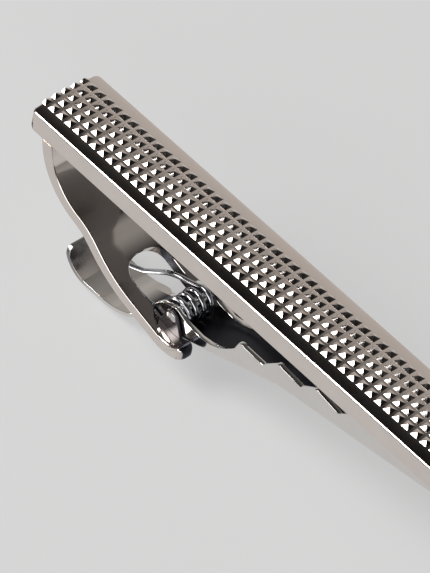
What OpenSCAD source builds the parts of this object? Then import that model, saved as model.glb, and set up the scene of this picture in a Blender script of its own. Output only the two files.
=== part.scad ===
// Tie clip with a spring jaw. The long front bar carries a field of raised
// pyramids. A curved bracket hangs from the back of one end and forks round
// the jaw, a pin joins the two, and a torsion spring holds the jaw closed.
//
// X runs along the bar, with the hinge end on the -X side. Y runs across it.
// Z is up, out of the front face. The origin is the middle of the bar's flat
// back, which lies against the tie.

/* [Bar] */
// Length of the front bar
bar_len = 54; // [52:0.5:60]
// Width of the front bar
bar_w = 6.5; // [6.3:0.1:7.5]
// Height of the flat side faces
bar_side_h = 1.84; // [1.5:0.02:2.4]
// Rise of the domed front above the side faces
dome_h = 0.22; // [0.15:0.01:0.35]
// Radius of the lower corners of both ends, seen from the side
bar_end_r = 0.55; // [0.3:0.05:0.8]
// Radius of the four upright corners, seen from above
bar_corner_r = 0.45; // [0.2:0.05:0.8]

/* [Pyramid field] */
// Distance from one pyramid to the next, both ways
knurl_pitch = 0.92; // [0.8:0.02:1]
// Number of rows across the bar
knurl_rows = 5; // [3:1:5]
// Height of a pyramid
knurl_h = 0.2; // [0.15:0.01:0.3]
// Width of the flat valley between two pyramids
knurl_valley = 0.18; // [0.06:0.01:0.2]
// Distance from the hinge end of the bar to the first apex
knurl_start = 0.02; // [0:0.01:0.4]

/* [Bracket] */
// Thickness of the bracket strip
bracket_t = 1.05; // [0.9:0.05:1.2]
// Distance from the bar's end to the middle of the bracket's root
root_x = 1.95; // [1.7:0.05:2.4]
// Radius of the bend below the root
bend_r = 5.5; // [5.2:0.1:5.8]
// Radius of the slight bend the other way that follows it
sag_r = 5; // [4.6:0.1:5.4]
// Length of the straight stretch before the window
ramp_len = 0.9; // [0.7:0.05:1.2]
// Radius of the sweep that levels the strip out
sweep_r = 10.5; // [10:0.1:11]
// Length of the straight stretch of the arms under the hinge
arm_len = 3.3; // [3.2:0.1:3.5]
// Radius of the upturned tips of the two arms
tip_bend_r = 3.2; // [3:0.1:3.5]
// Radius of the rounded corners of both arm tips, seen from above
arm_corner_r = 0.6; // [0.4:0.05:0.6]
// Width of the window that the jaw's neck passes through
window_w = 3.9; // [3.84:0.02:4.1]
// Distance from the bar's end to the window's closed end
window_x = 10; // [9.9:0.05:10.2]
// Radius of the window's corners
window_r = 1.5; // [1:0.1:1.9]
// Thickness of the upright hinge lugs
lug_t = 0.28; // [0.26:0.02:0.36]
// Radius of the rounded top of a lug
lug_r = 0.64; // [0.62:0.02:0.8]
// Length of a lug where it meets its arm
lug_base = 2.8; // [2.6:0.1:3]

/* [Hinge] */
// Distance from the bar's end to the hinge axis
hinge_x = 15.8; // [15.6:0.05:16]
// Depth of the hinge axis below the bar's back
hinge_drop = 7.4; // [7.3:0.02:7.5]
// Radius of the pin
pin_r = 0.4; // [0.34:0.02:0.42]
// Radius of the two riveted heads
pin_head_r = 0.5; // [0.48:0.02:0.56]
// Height of a riveted head
pin_head_h = 0.1; // [0.08:0.02:0.16]
// Radial clearance of the jaw on the pin
pin_gap = 0.05; // [0.03:0.01:0.08]
// Clearance between a jaw ear and its lug
ear_gap = 0.06; // [0.05:0.01:0.1]

/* [Jaw] */
// Thickness of the jaw's sheet metal
sheet_t = 0.38; // [0.34:0.01:0.42]
// Width of the jaw over its two walls
jaw_w = 3.62; // [3.6:0.02:3.7]
// Width of the thumb tab
tab_w = 4.4; // [4.2:0.05:4.4]
// Distance from the bar's end to the tab's upturned edge
tab_x = 4.3; // [4.2:0.05:4.6]
// Depth of the tab's edge below the bar's back
tab_drop = 9.8; // [9.7:0.05:10]
// Radius of the tab's upturned edge
tab_curl_r = 2.55; // [2.4:0.05:2.7]
// Length of the tab's level bottom
tab_flat = 1.7; // [1.5:0.1:1.9]
// Radius of the sweep from the tab up to the channel
tab_sweep_r = 6; // [5.7:0.1:6.3]
// Radius of the tab's corners, seen from below
tab_corner_r = 0.9; // [0.6:0.1:1.4]
// Length of the channel's steep stretch past the hinge
channel_len = 15.9; // [15.7:0.05:16.1]
// Radius of the bend where the channel eases towards the bar
ease_r = 12; // [11:0.5:13]
// Length of the toothed stretch
nose_len = 17.6; // [17.3:0.1:17.8]
// Radius of the upturned lip at the nose
lip_r = 1; // [0.8:0.1:1.2]
// Length of the lip after its bend
lip_len = 0.9; // [0.7:0.05:1]
// Radius of the ears round the pin
ear_r = 0.85; // [0.75:0.05:0.95]
// Height of the walls under the teeth's roots
root_h = 1.54; // [1.4:0.02:1.7]
// Height of the walls at the tips of the teeth
peak_h = 2.46; // [2.3:0.02:2.5]
// Distance between two teeth along the bar
tooth_pitch = 3.8; // [3.7:0.05:3.85]
// Distance from the hinge axis to the first tooth
first_tooth = 6.85; // [6.7:0.05:7]
// Width of the rounded top of a tooth
tooth_round = 0.5; // [0.3:0.05:0.7]

/* [Spring] */
// Diameter of the spring wire
wire_d = 0.44; // [0.38:0.01:0.44]
// Outer diameter of the coil
coil_d = 2.6; // [2.4:0.05:2.6]
// Distance between two turns
coil_pitch = 0.91; // [0.9:0.01:0.91]
// Distance of the coil's middle from the middle of the clip, towards the near wall
coil_shift = 0.01; // [0:0.01:0.01]
// Reach of the leg that presses on the thumb tab
tab_leg = 9.6; // [9.4:0.1:9.8]
// Reach of the leg that presses on the bracket's underside
strip_leg = 6.8; // [6.6:0.1:7]
// Dip of that leg on its way
strip_dip = 0.68; // [0.5:0.02:0.7]
// Clearance between a leg's end and what it presses on
leg_gap = 0.06; // [0.04:0.01:0.1]

/* [Hidden] */

// Angles, in degrees
arc_step = 6;
root_heading = -84;
bend_turn = 68;
sag_turn = -23.5;
sweep_turn = 24;
tip_turn = 46;
curl_turn = 80;
ear_slope = 50;
channel_slope = 21.5;
ease_turn = -11;
lip_turn = 55;

// Numbers of facets
round_fn = 48;
dome_fn = 720;
rings_per_turn = 8;
wire_sides = 6;

// Overrun of every cut past the face it starts from
over = 0.5;
// Depth to which a piece of one solid runs into the next
lap = 0.12;

// Shares of a tooth's heights, from the hinge to the nose
peak_shares = [1, 0.92, 0.95, 0.98, 0.97, 0.89];
root_shares = [0.96, 1, 0.98, 1, 1];
// Place of a root between two teeth, and of the shoulder before the first tooth
root_place_share = 0.58;
shoulder_place_shares = [0.2, 0.41, 0.57, 0.69, 0.8, 0.9];
shoulder_height_shares = [0.1, 0.06, 0.13, 0.26, 0.45, 0.69];
nose_height_share = 0.56;
// Ear of a jaw wall, left of the hinge, as shares of its radius
ear_shares = [[-4.5, -4.2], [-4, -3.6], [-3.3, -2.7], [-2.75, -1.5], [-2.32, -0.34], [-1.67, 0.35], [-0.8, 0.7]];
// Legs of the spring as shares of their reach and of their drop or dip
tab_leg_shares = [[0.04, 0], [0.085, 0.005], [0.13, 0.06], [0.17, 0.118], [0.235, 0.165], [0.32, 0.236],
                  [0.4, 0.325], [0.48, 0.445], [0.56, 0.575], [0.64, 0.7], [0.71, 0.77],
                  [0.78, 0.835], [1, 1]];
strip_leg_shares = [[0.09, 0.1], [0.2, 0.42], [0.35, 0.8], [0.53, 1], [0.7, 0.75], [0.85, -0.12]];

end_x = -bar_len / 2;
dome_r = (pow(bar_w / 2, 2) + pow(dome_h, 2)) / (2 * dome_h);
dome_z = bar_side_h + dome_h - dome_r;
knurl_base = knurl_pitch - knurl_valley;
knurl_cols = ceil(bar_len / knurl_pitch) + 1;

lug_in = jaw_w / 2 + ear_gap;
lug_out = lug_in + lug_t;
wall_in = jaw_w / 2 - sheet_t;
coil_r = (coil_d - wire_d) / 2;
coil_room = 2 * wall_in - 2 * leg_gap - wire_d;
turns = floor(coil_room / coil_pitch - 0.5) + 0.5;
coil_half = turns * coil_pitch / 2;
slot_x = window_x + window_r;

// Points of a path, each with its heading. A segment is [length, 0] for a
// straight stretch or [radius, turn] for an arc.
function stride(s, p, h, k, n) =
    s[1] == 0
        ? [p.x + s[0] * cos(h), p.y + s[0] * sin(h), h]
        : let (a = s[1] * k / n, r = s[0] * sign(s[1]))
          [p.x + r * (sin(h + a) - sin(h)), p.y - r * (cos(h + a) - cos(h)), h + a];
function steps(s) = s[1] == 0 ? 1 : ceil(abs(s[1]) / arc_step);
function walk(segs, at, i = 0) =
    i == len(segs)
        ? [at]
        : let (n = steps(segs[i]),
               part = [for (k = [1 : n]) stride(segs[i], at, at[2], k, n)])
          concat([at], [for (k = [0 : 1 : n - 2]) part[k]], walk(segs, part[n - 1], i + 1));
// The same path moved sideways, to the left of its heading
function beside(path, d) = [for (p = path) [p.x - d * sin(p[2]), p.y + d * cos(p[2])]];
function backwards(list) = [for (i = [len(list) - 1 : -1 : 0]) list[i]];
// Height of a path above a place along the bar
function height_at(path, x) =
    [for (i = [1 : len(path) - 1])
        if (path[i - 1].x <= x && x < path[i].x)
            path[i - 1].y + (path[i].y - path[i - 1].y) * (x - path[i - 1].x) / (path[i].x - path[i - 1].x)][0];
// Heading of a path at a place along the bar
function heading_at(path, x) =
    [for (i = [1 : len(path) - 1])
        if (path[i - 1].x <= x && x < path[i].x)
            atan2(path[i].y - path[i - 1].y, path[i].x - path[i - 1].x)][0];

// The bracket strip's middle line, from above the bar's back to the arm tips
bracket_path = walk(
    [[2 * bracket_t, 0], [bend_r, bend_turn], [sag_r, sag_turn], [ramp_len, 0],
     [sweep_r, sweep_turn], [arm_len, 0], [tip_bend_r, tip_turn]],
    [root_x - 2 * bracket_t * cos(root_heading), -2 * bracket_t * sin(root_heading), root_heading]);
bracket_end = bracket_path[len(bracket_path) - 1];
bracket_upper = beside(bracket_path, bracket_t / 2);
bracket_under = beside(bracket_path, -bracket_t / 2);

// The jaw's lower face, from the tab's edge to the lip at the nose
tab_path = walk(
    [[tab_curl_r, curl_turn], [tab_flat, 0], [tab_sweep_r, channel_slope]],
    [tab_x, -tab_drop, -curl_turn]);
channel_path = walk(
    [[channel_len, 0], [ease_r, ease_turn], [nose_len, 0], [lip_r, lip_turn], [lip_len, 0]],
    tab_path[len(tab_path) - 1]);
jaw_path = concat(tab_path, channel_path);
nose = channel_path[len(channel_path) - 1];

// Upper edge of the jaw's walls, from the nose back to the hinge
tooth_x = [for (i = [0 : len(peak_shares) - 1]) hinge_x + first_tooth + i * tooth_pitch];
tooth_top = [for (i = [0 : len(peak_shares) - 1])
    [tooth_x[i], height_at(channel_path, tooth_x[i]) + peak_h * peak_shares[i]]];
tooth_root = [for (i = [0 : len(root_shares) - 1])
    let (x = tooth_x[i] + tooth_pitch * root_place_share)
    [x, height_at(channel_path, x) + root_h * root_shares[i]]];
wall_start = channel_path[0];
shoulder = [for (i = [0 : len(shoulder_place_shares) - 1])
    [hinge_x + first_tooth * shoulder_place_shares[i],
     -hinge_drop + (tooth_top[0].y + hinge_drop) * shoulder_height_shares[i]]];
nose_top = [nose.x - sheet_t, nose.y];
nose_root = [nose.x - tooth_pitch * nose_height_share, nose.y - (peak_h - root_h)];

function rounded_top(p) =
    [[p.x - tooth_round, p.y - tooth_round * 0.6],
     [p.x - tooth_round / 2, p.y - tooth_round * 0.15],
     p,
     [p.x + tooth_round / 2, p.y - tooth_round * 0.15]];
function edge_points() =
    concat([[wall_start.x, wall_start.y + sheet_t]],
           [for (e = ear_shares) [hinge_x + ear_r * e.x, -hinge_drop + ear_r * e.y]],
           [[hinge_x, -hinge_drop], [hinge_x + ear_r * cos(ear_slope), -hinge_drop + ear_r * sin(ear_slope)]],
           shoulder,
           [for (i = [0 : len(tooth_top) - 1])
               for (p = concat(rounded_top(tooth_top[i]),
                               i < len(tooth_root) ? [tooth_root[i]] : [nose_root])) p],
           [nose_top]);

// Points of the spring wire, from the thumb tab to the bracket's underside
press = wire_d / 2 + leg_gap;
ramp_slope = root_heading + bend_turn + sag_turn;
coil_top = coil_r - hinge_drop;
coil_bottom = -coil_r - hinge_drop;
tab_tip_x = hinge_x - tab_leg;
tab_leg_drop = coil_top - (height_at(tab_path, tab_tip_x) + sheet_t + press);
strip_tip_x = hinge_x - strip_leg;
strip_tip_z = height_at(bracket_under, strip_tip_x) - press / cos(ramp_slope);
tab_points = [for (i = [len(tab_leg_shares) - 1 : -1 : 0])
    let (s = tab_leg_shares[i])
    [hinge_x - tab_leg * s.x, coil_half - coil_shift, coil_top - tab_leg_drop * s.y]];
coil_points = [for (i = [0 : turns * rings_per_turn])
    let (a = 90 - 360 * i / rings_per_turn)
    [hinge_x + coil_r * cos(a), coil_half - coil_shift - coil_pitch * i / rings_per_turn,
     -hinge_drop + coil_r * sin(a)]];
strip_points = concat(
    [for (s = strip_leg_shares)
        [hinge_x - strip_leg * s.x, -coil_half - coil_shift, coil_bottom - strip_dip * s.y]],
    [[strip_tip_x, -coil_half - coil_shift, strip_tip_z]]);
wire_points = concat(tab_points, coil_points, strip_points);

// Least gap of the wire to itself, over rings half a turn or more apart
function unit(v) = v / norm(v);
wire_gap = min([for (i = [0 : len(wire_points) - 1])
    for (j = [i + 4 : 1 : len(wire_points) - 1]) norm(wire_points[i] - wire_points[j])]) - wire_d;
echo(turns = turns, wire_gap = wire_gap);

// Draws a flat shape in the XZ plane and gives it a width across the bar
module across(w) {
    rotate([90, 0, 0])
        linear_extrude(height = w, center = true)
            children();
}

// A rectangle from x = a to x = b with the corners at b rounded
module round_ended(a, b, w, r) {
    translate([a, -w / 2])
        square([b - a - r, w]);
    translate([a, -w / 2 + r])
        square([b - a, w - 2 * r]);
    for (side = [-1, 1])
        translate([b - r, side * (w / 2 - r)])
            circle(r = r, $fn = round_fn);
}

// The bar seen from its side, with its lower end corners rounded
module bar_side() {
    translate([bar_end_r, 0])
        square([bar_len - 2 * bar_end_r, bar_end_r]);
    translate([0, bar_end_r])
        square([bar_len, bar_side_h + dome_h + knurl_h]);
    for (x = [bar_end_r, bar_len - bar_end_r])
        translate([x, bar_end_r])
            circle(r = bar_end_r, $fn = round_fn);
}

// The bar seen from above, with its four corners rounded
module bar_plan() {
    translate([bar_corner_r, -bar_w / 2])
        square([bar_len - 2 * bar_corner_r, bar_w]);
    translate([0, bar_corner_r - bar_w / 2])
        square([bar_len, bar_w - 2 * bar_corner_r]);
    for (x = [bar_corner_r, bar_len - bar_corner_r])
        for (side = [-1, 1])
            translate([x, side * (bar_w / 2 - bar_corner_r)])
                circle(r = bar_corner_r, $fn = round_fn);
}

// The bar's cross-section, flat below and domed above, as seen along X
module bar_section() {
    intersection() {
        translate([-bar_w / 2, 0])
            square([bar_w, bar_side_h + dome_h]);
        translate([0, dome_z])
            circle(r = dome_r, $fn = dome_fn);
    }
}

// One pyramid's outline with a short foot that runs into the bar
module tooth_outline() {
    polygon([[-knurl_base / 2, -lap], [knurl_base / 2, -lap], [knurl_base / 2, 0],
             [0, knurl_h], [-knurl_base / 2, 0]]);
}

// One row of pyramids, standing on a flat along the X axis
module pyramid_row() {
    intersection() {
        across(knurl_pitch)
            for (i = [0 : knurl_cols - 1])
                translate([knurl_start + i * knurl_pitch, 0])
                    tooth_outline();
        rotate([90, 0, 90])
            linear_extrude(height = bar_len)
                tooth_outline();
    }
}

module front_bar() {
    color("#3d3a3a")
        translate([end_x, 0, 0])
            union() {
                intersection() {
                    across(bar_w)
                        bar_side();
                    rotate([90, 0, 90])
                        linear_extrude(height = bar_len)
                            bar_section();
                    linear_extrude(height = bar_side_h + dome_h + over)
                        bar_plan();
                }
                for (i = [0 : knurl_rows - 1]) {
                    y = (i - (knurl_rows - 1) / 2) * knurl_pitch;
                    tilt = -asin(y / dome_r);
                    translate([0, y, dome_z + dome_r * cos(tilt)])
                        rotate([tilt, 0, 0])
                            pyramid_row();
                }
            }
}

// What is cut out of the strip: a window, punched square to the strip at its
// closed end and straight on to the lugs
module window_cut() {
    rim_z = height_at(bracket_upper, window_x);
    translate([window_x, 0, rim_z])
        rotate([0, -heading_at(bracket_upper, window_x), 0])
            translate([0, 0, -bracket_t - over])
                linear_extrude(height = bracket_t + 3 * over)
                    mirror([1, 0])
                        round_ended(-2 * window_r, 0, window_w, window_r);
    translate([0, 0, -tab_drop])
        linear_extrude(height = tab_drop + over)
            translate([slot_x, -window_w / 2])
                square([hinge_x - lug_base / 2 - slot_x, window_w]);
}

// The slot between the two arms seen from above, flared where it rounds their tips
module slot_plan(arm_end) {
    flare_x = arm_end - arm_corner_r;
    translate([slot_x, -lug_in])
        square([arm_end + over - slot_x, 2 * lug_in]);
    difference() {
        translate([flare_x, -lug_in - arm_corner_r])
            square([arm_corner_r + over, 2 * lug_in + 2 * arm_corner_r]);
        for (side = [-1, 1])
            translate([flare_x, side * (lug_in + arm_corner_r)])
                circle(r = arm_corner_r, $fn = round_fn);
    }
}

// A lug's outline in the XZ plane, with straight flanks up to its round top
module lug_outline() {
    depth = -hinge_drop - min([for (p = bracket_path) p.y]);
    turn = acos(lug_r / norm([lug_base / 2, depth])) - atan2(depth, lug_base / 2);
    translate([hinge_x, -hinge_drop]) {
        circle(r = lug_r, $fn = round_fn);
        polygon([[-lug_base / 2, -depth], [-lug_r * cos(turn), lug_r * sin(turn)],
                 [lug_r * cos(turn), lug_r * sin(turn)], [lug_base / 2, -depth]]);
    }
}

module end_bracket() {
    arm_end = bracket_end.x + bracket_t / 2;
    color("#4a4747")
        translate([end_x, 0, 0])
            difference() {
                union() {
                    difference() {
                        intersection() {
                            across(bar_w)
                                difference() {
                                    union() {
                                        polygon(concat(backwards(bracket_upper), bracket_under));
                                        translate([bracket_end.x, bracket_end.y])
                                            circle(d = bracket_t, $fn = round_fn);
                                    }
                                    square([window_x, 3 * bracket_t]);
                                }
                            translate([0, 0, -tab_drop])
                                linear_extrude(height = tab_drop + over)
                                    round_ended(0, arm_end, bar_w, arm_corner_r);
                        }
                        window_cut();
                        translate([0, 0, -tab_drop])
                            linear_extrude(height = tab_drop + over)
                                slot_plan(arm_end);
                    }
                    for (side = [-1, 1])
                        translate([0, side * (lug_in + lug_t / 2), 0])
                            across(lug_t)
                                lug_outline();
                }
                translate([hinge_x, 0, -hinge_drop])
                    rotate([90, 0, 0])
                        cylinder(r = pin_r, h = bar_w + over, center = true, $fn = round_fn);
            }
}

module clip_jaw() {
    color("#6a6666")
        translate([end_x, 0, 0])
            difference() {
                union() {
                    // The thumb tab, with its outer corners rounded
                    intersection() {
                        across(tab_w)
                            polygon(concat([for (p = tab_path) [p.x, p.y]],
                                           backwards(beside(tab_path, sheet_t))));
                        translate([0, 0, -tab_drop - tab_curl_r])
                            linear_extrude(height = tab_drop + tab_curl_r)
                                translate([tab_x + bar_w, 0])
                                    mirror([1, 0])
                                        round_ended(-bar_w, bar_w + sheet_t, tab_w, tab_corner_r);
                    }
                    // The channel's floor
                    across(jaw_w)
                        polygon(concat([for (p = channel_path) [p.x, p.y]],
                                       backwards(beside(channel_path, sheet_t))));
                    // The two toothed walls with their ears
                    for (side = [-1, 1])
                        translate([0, side * (jaw_w - sheet_t) / 2, 0])
                            across(sheet_t) {
                                polygon(concat([for (p = channel_path) [p.x, p.y]],
                                               backwards(edge_points())));
                                translate([hinge_x, -hinge_drop])
                                    circle(r = ear_r, $fn = round_fn);
                            }
                }
                translate([hinge_x, 0, -hinge_drop])
                    rotate([90, 0, 0])
                        cylinder(r = pin_r + pin_gap, h = jaw_w + over, center = true, $fn = round_fn);
            }
}

// Sweeps a tube of flat sides along points, with one ring at each point
module wire(points, d, sides) {
    n = len(points);
    rings = [for (i = [0 : n - 1])
        let (t = unit(points[min(i + 1, n - 1)] - points[max(i - 1, 0)]),
             a = unit(cross(t, [0, 1, 0])),
             b = cross(t, a))
        for (k = [0 : sides - 1])
            points[i] + d / 2 * (cos(360 * k / sides) * a + sin(360 * k / sides) * b)];
    quads = [for (i = [0 : n - 2])
        for (k = [0 : sides - 1])
            let (m = (k + 1) % sides)
            [i * sides + k, i * sides + m, (i + 1) * sides + m, (i + 1) * sides + k]];
    walls = [for (q = quads)
        for (f = [[q[0], q[1], q[2]], [q[0], q[2], q[3]]]) f];
    caps = [for (k = [1 : sides - 2])
        for (f = [[0, k + 1, k], [(n - 1) * sides, (n - 1) * sides + k, (n - 1) * sides + k + 1]]) f];
    polyhedron(points = rings, faces = concat(walls, caps));
}

module torsion_spring() {
    color("#2c2c31")
        translate([end_x, 0, 0])
            wire(wire_points, wire_d, wire_sides);
}

module hinge_pin() {
    color("#57534f")
        translate([end_x + hinge_x, 0, -hinge_drop])
            rotate([90, 0, 0])
                union() {
                    cylinder(r = pin_r, h = 2 * lug_out, center = true, $fn = round_fn);
                    for (side = [0, 180])
                        rotate([side, 0, 0])
                            translate([0, 0, lug_out])
                                cylinder(r1 = pin_head_r, r2 = pin_r, h = pin_head_h, $fn = round_fn);
                }
}

front_bar();
end_bracket();
clip_jaw();
torsion_spring();
hinge_pin();
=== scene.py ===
# %% [markdown]
# # A tie clip with a spring jaw
# This lesson dresses a small metal clip that already exists as exact solids.
# The solids give every place and size, and the lesson adds what the eye looks
# for on polished metal: rounded edges that catch the light, a finely wound
# spring, and finishes that differ between plated sheet, drawn wire and rivet.

# %% Load the solids
import math
import bmesh
import bpy
from mathutils import Matrix, Vector


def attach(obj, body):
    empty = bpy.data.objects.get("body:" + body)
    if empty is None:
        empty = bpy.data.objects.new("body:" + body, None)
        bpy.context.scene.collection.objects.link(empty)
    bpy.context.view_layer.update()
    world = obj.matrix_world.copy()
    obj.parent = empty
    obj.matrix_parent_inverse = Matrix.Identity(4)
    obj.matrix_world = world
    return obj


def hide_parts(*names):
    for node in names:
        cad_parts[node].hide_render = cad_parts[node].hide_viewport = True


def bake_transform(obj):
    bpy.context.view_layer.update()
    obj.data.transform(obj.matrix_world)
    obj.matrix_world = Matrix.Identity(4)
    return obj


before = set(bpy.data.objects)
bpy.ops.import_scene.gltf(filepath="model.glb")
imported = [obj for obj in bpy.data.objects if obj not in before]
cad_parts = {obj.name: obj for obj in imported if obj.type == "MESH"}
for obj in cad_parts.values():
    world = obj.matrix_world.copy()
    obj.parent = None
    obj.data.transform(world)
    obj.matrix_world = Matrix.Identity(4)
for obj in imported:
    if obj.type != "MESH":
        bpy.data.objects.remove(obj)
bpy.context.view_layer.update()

# %% [markdown]
# ## Flat outlines
# Bent strip and folded sheet are easiest to understand from the side, as a
# flat outline that is then given a width. The outline could be drawn point by
# point, but a path of straight stretches and arcs describes each bend as a
# maker would, by its radius and its angle, and it stays easy to change. Sizes
# here are in millimetres from the bar's hinge end, and become metres from the
# bar's middle when a mesh is made.

# %% Paths of straights and arcs
MM = 0.001
BAR_LEN = 54.0
ARC_STEP = 2.5


def to_part(x):
    """A place along the bar as the part has it: in metres, from the bar's middle."""
    return (x - BAR_LEN / 2) * MM


def walk(segments, x, z, heading):
    """Points of a path with their headings; a segment is (length, 0) or (radius, turn)."""
    points = [(x, z, heading)]
    for size, turn in segments:
        x, z, heading = points[-1]
        if turn == 0:
            h = math.radians(heading)
            points.append((x + size * math.cos(h), z + size * math.sin(h), heading))
            continue
        count = math.ceil(abs(turn) / ARC_STEP)
        r = math.copysign(size, turn)
        for k in range(1, count + 1):
            a = heading + turn * k / count
            h0, h1 = math.radians(heading), math.radians(a)
            points.append((x + r * (math.sin(h1) - math.sin(h0)),
                           z - r * (math.cos(h1) - math.cos(h0)), a))
    return points


print("an arc of 90 degrees has", len(walk([(1, 90)], 0, 0, 0)), "points")


# %% Lines beside, round and above
def beside(path, distance):
    """The path moved sideways, to the left of its heading."""
    return [(x - distance * math.sin(math.radians(h)), z + distance * math.cos(math.radians(h)))
            for x, z, h in path]


def arc(x, z, r, start, end, step=ARC_STEP * 2):
    """Points of an arc about (x, z), from one angle to the other."""
    count = max(2, math.ceil(abs(end - start) / step))
    angles = [math.radians(start + (end - start) * k / count) for k in range(count + 1)]
    return [(x + r * math.cos(a), z + r * math.sin(a)) for a in angles]


def height_at(points, x):
    """Height of a line of points above a place along the bar."""
    for (x0, z0), (x1, z1) in zip(points, points[1:]):
        if x0 <= x < x1:
            return z0 + (z1 - z0) * (x - x0) / (x1 - x0)
    return points[-1][1]


print("halfway up a slope of 1 in 1, the height is", height_at([(0, 0), (1, 1)], 0.5))


# %% Plans
def box_outline(a0, a1, b0, b1):
    """The four corners of a rectangle."""
    return [(a0, b0), (a1, b0), (a1, b1), (a0, b1)]


def round_plan(x0, x1, half, r, ends="both"):
    """A rectangle seen from above with round corners at both ends or at one."""
    points = []
    for x, y, start in ((x1, -half, -90), (x1, half, 0), (x0, half, 90), (x0, -half, 180)):
        is_high = x == x1
        if ends == "both" or (ends == "high") == is_high:
            cx, cy = x + (-r if is_high else r), y - math.copysign(r, y)
            points += arc(cx, cy, r, start, start + 90)
        else:
            points.append((x, y))
    return points


print("a plan with four round corners has", len(round_plan(0, 10, 3, 1)), "points")

# %% [markdown]
# ## Meshes from outlines
# Each metal part here can be cut from prisms: an outline pushed out to a
# width, which is then joined with another, cut by it, or kept only where the
# two overlap. Box modelling would also do, but a prism keeps the outline's
# numbers readable, and the exact boolean copes with faces in one plane.

# %% From a bmesh to an object
def put_in_scene(name, data):
    """An object of a mesh, curve, lamp or camera, linked to the scene."""
    made = bpy.data.objects.new(name, data)
    bpy.context.scene.collection.objects.link(made)
    return made


def finish_mesh(bm, name):
    """Turns a bmesh in millimetres into an object in metres, with its faces outwards."""
    bmesh.ops.recalc_face_normals(bm, faces=bm.faces)
    bmesh.ops.scale(bm, vec=(MM, MM, MM), verts=bm.verts)
    mesh = bpy.data.meshes.new(name)
    bm.to_mesh(mesh)
    bm.free()
    return put_in_scene(name, mesh)


def triangles(piece):
    """How many triangles the piece's faces make."""
    return sum(len(p.vertices) - 2 for p in piece.data.polygons)


# %% Prisms and how they combine
def prism(outline, along, low, high, place=None):
    """An outline drawn in the plane across 'along', pushed out from low to high."""
    def corner(a, b, level):
        return {"x": (level, a, b), "y": (a, level, b), "z": (a, b, level)}[along]

    bm = bmesh.new()
    face = bm.faces.new([bm.verts.new(corner(a, b, low)) for a, b in outline])
    grown = bmesh.ops.extrude_face_region(bm, geom=[face])
    moved = [g for g in grown["geom"] if isinstance(g, bmesh.types.BMVert)]
    bmesh.ops.translate(bm, vec=corner(0, 0, high - low), verts=moved)
    if place is not None:
        bmesh.ops.transform(bm, matrix=place, verts=bm.verts)
    bmesh.ops.translate(bm, vec=(-BAR_LEN / 2, 0, 0), verts=bm.verts)
    return finish_mesh(bm, "prism")


def combine(base, *steps):
    """Adds, cuts or keeps the shared part, with exact booleans; the tools are used up."""
    for operation, tool in steps:
        change = base.modifiers.new("step", "BOOLEAN")
        change.operation = operation
        change.object = tool
        change.solver = "EXACT"
        bpy.context.view_layer.update()
        shaped = bpy.data.meshes.new_from_object(
            base.evaluated_get(bpy.context.evaluated_depsgraph_get()))
        base.modifiers.clear()
        base.data = shaped
        bpy.data.objects.remove(tool)
    return base


# %% [markdown]
# ## Rounded edges
# No real edge is perfectly sharp. Polishing leaves a tiny radius, and that
# radius is what draws the bright lines along a metal part. A Bevel modifier
# would round every sharp edge alike, while the operator takes a list of edges,
# so each part can say which of its edges were polished and how far. The
# shading then stays flat on the big faces and turns only across the bevels.

# %% Edge rounding
WELD, BEVEL_WELD = 0.002, 0.0015


def soften(piece, radius, segments=4, angle=32, where=None, merge=0.3):
    """Joins faces that are flat to within 'merge', then rounds edges sharper than 'angle'."""
    bm = bmesh.new()
    bm.from_mesh(piece.data)
    bmesh.ops.remove_doubles(bm, verts=bm.verts, dist=WELD * MM)
    bmesh.ops.dissolve_limit(bm, angle_limit=math.radians(merge), verts=bm.verts, edges=bm.edges)
    edges = [e for e in bm.edges
             if len(e.link_faces) == 2 and e.calc_face_angle(0) > math.radians(angle)
             and (where is None or where(e))]
    bmesh.ops.bevel(bm, geom=edges, offset=radius * MM, offset_type="OFFSET", affect="EDGES",
                    segments=segments, profile=0.5, material=-1, clamp_overlap=False)
    bmesh.ops.remove_doubles(bm, verts=bm.verts, dist=BEVEL_WELD * MM)
    bm.to_mesh(piece.data)
    bm.free()
    return len(edges)


def keep_within(piece, half_width):
    """Takes back the last micrometres where a rounded corner stands proud of a side."""
    for vertex in piece.data.vertices:
        vertex.co.y = max(-half_width * MM, min(half_width * MM, vertex.co.y))


print("points nearer than", WELD, "mm are joined before their edges are rounded")

# %% Smooth shading
SMOOTH_ANGLE, FLAT_WEIGHT = 24, 80


def smooth(mesh, angle):
    """Smooth shading that breaks where faces meet at more than an angle."""
    for polygon in mesh.polygons:
        polygon.use_smooth = True
    mesh.set_sharp_from_angle(angle=math.radians(angle))


def shade(piece):
    """Smooth shading that also keeps big faces flat."""
    smooth(piece.data, SMOOTH_ANGLE)
    keep = piece.modifiers.new("flat_faces", "WEIGHTED_NORMAL")
    keep.mode = "FACE_AREA"
    keep.weight = FLAT_WEIGHT
    keep.keep_sharp = True


print("edges will be smoothed below", SMOOTH_ANGLE, "degrees")

# %% [markdown]
# ## The front bar
# The bar is solid and polished all round. Its front is slightly domed, the
# lower corners of its ends are round, and the upright corners are just taken
# off. A cube with loop cuts could come near, but the bar is made as the shared
# part of three prisms, one for each direction that it is looked at from, so
# that each curve keeps a radius of its own.

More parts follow.
